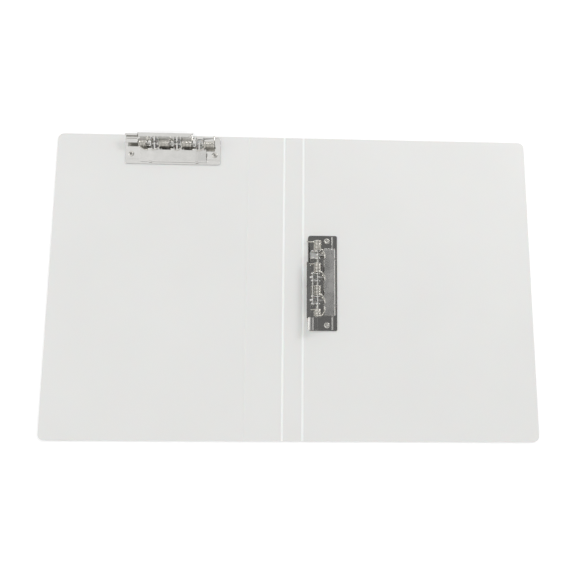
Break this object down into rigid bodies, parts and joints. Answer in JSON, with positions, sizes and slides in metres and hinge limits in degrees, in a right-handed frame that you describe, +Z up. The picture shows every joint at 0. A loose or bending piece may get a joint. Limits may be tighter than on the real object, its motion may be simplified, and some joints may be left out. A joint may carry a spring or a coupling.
{
  "type": "foldable clipboard",
  "caption": "Foldable clipboard: a frosted plastic cover with two creases, a lever clip at the top of one cover and another beside the spine.",
  "frame": {"origin": "on the table, under the middle of the open sheet", "axes": "+X across the open sheet from the front cover to the back cover, +Y toward the top edge, +Z up out of the inside faces"},
  "size_m": [0.49, 0.31, 0.0104],
  "materials": {
    "cover_plastic": "frosted",
    "plated_steel": "nickel plated",
    "jaw_steel": "nickel plated, drawn",
    "lever_steel": "nickel plated",
    "rod_steel": "plated",
    "spring_wire": "bright drawn wire",
    "eyelet_nickel": "polished"
  },
  "bodies": {
    "back_cover": {"back_cover": "cover_plastic", "side_clip_base_plate": "plated_steel", "side_clip_hinge_rod": "rod_steel", "side_clip_lever_pin": "rod_steel", "side_clip_spring_1": "spring_wire", "side_clip_spring_2": "spring_wire", "side_clip_spring_3": "spring_wire", "side_clip_spring_4": "spring_wire", "side_clip_eyelet_1": "eyelet_nickel", "side_clip_eyelet_2": "eyelet_nickel"},
    "spine": {"spine_panel": "cover_plastic"},
    "front_cover": {"front_cover": "cover_plastic", "top_clip_base_plate": "plated_steel", "top_clip_hinge_rod": "rod_steel", "top_clip_lever_pin": "rod_steel", "top_clip_spring_1": "spring_wire", "top_clip_spring_2": "spring_wire", "top_clip_spring_3": "spring_wire", "top_clip_spring_4": "spring_wire", "top_clip_eyelet_1": "eyelet_nickel", "top_clip_eyelet_2": "eyelet_nickel"},
    "top_jaw": {"top_clip_jaw": "jaw_steel"},
    "top_lever": {"top_clip_lever": "lever_steel"},
    "side_jaw": {"side_clip_jaw": "jaw_steel"},
    "side_lever": {"side_clip_lever": "lever_steel"}
  },
  "joints": [
    {"name": "rear_crease", "type": "hinge", "parent": "back_cover", "child": "spine", "pos_m": [0.01, 0, 0.00105], "axis": [0, 1, 0], "range_deg": [-90, 90]},
    {"name": "front_crease", "type": "hinge", "parent": "spine", "child": "front_cover", "pos_m": [-0.01, 0, 0.00105], "axis": [0, 1, 0], "range_deg": [-90, 90]},
    {"name": "top_lever_hinge", "type": "hinge", "parent": "front_cover", "child": "top_lever", "pos_m": [-0.132, 0.1488, 0.00865], "axis": [1, 0, 0], "range_deg": [0, 72]},
    {"name": "top_jaw_hinge", "type": "hinge", "parent": "front_cover", "child": "top_jaw", "pos_m": [-0.125, 0.1434, 0.00665], "axis": [-1, 0, 0], "range_deg": [0, 18], "deforming": ["top_clip_spring_1", "top_clip_spring_2", "top_clip_spring_3", "top_clip_spring_4"]},
    {"name": "side_lever_hinge", "type": "hinge", "parent": "back_cover", "child": "side_lever", "pos_m": [0.0194, -0.005, 0.00865], "axis": [0, 1, 0], "range_deg": [0, 72]},
    {"name": "side_jaw_hinge", "type": "hinge", "parent": "back_cover", "child": "side_jaw", "pos_m": [0.0248, 0.002, 0.00665], "axis": [0, -1, 0], "range_deg": [0, 18], "deforming": ["side_clip_spring_1", "side_clip_spring_2", "side_clip_spring_3", "side_clip_spring_4"]}
  ],
  "couplings": [
    {"joint": "top_jaw_hinge", "follows": "top_lever_hinge", "ratio": 0.25},
    {"joint": "side_jaw_hinge", "follows": "side_lever_hinge", "ratio": 0.25}
  ]
}
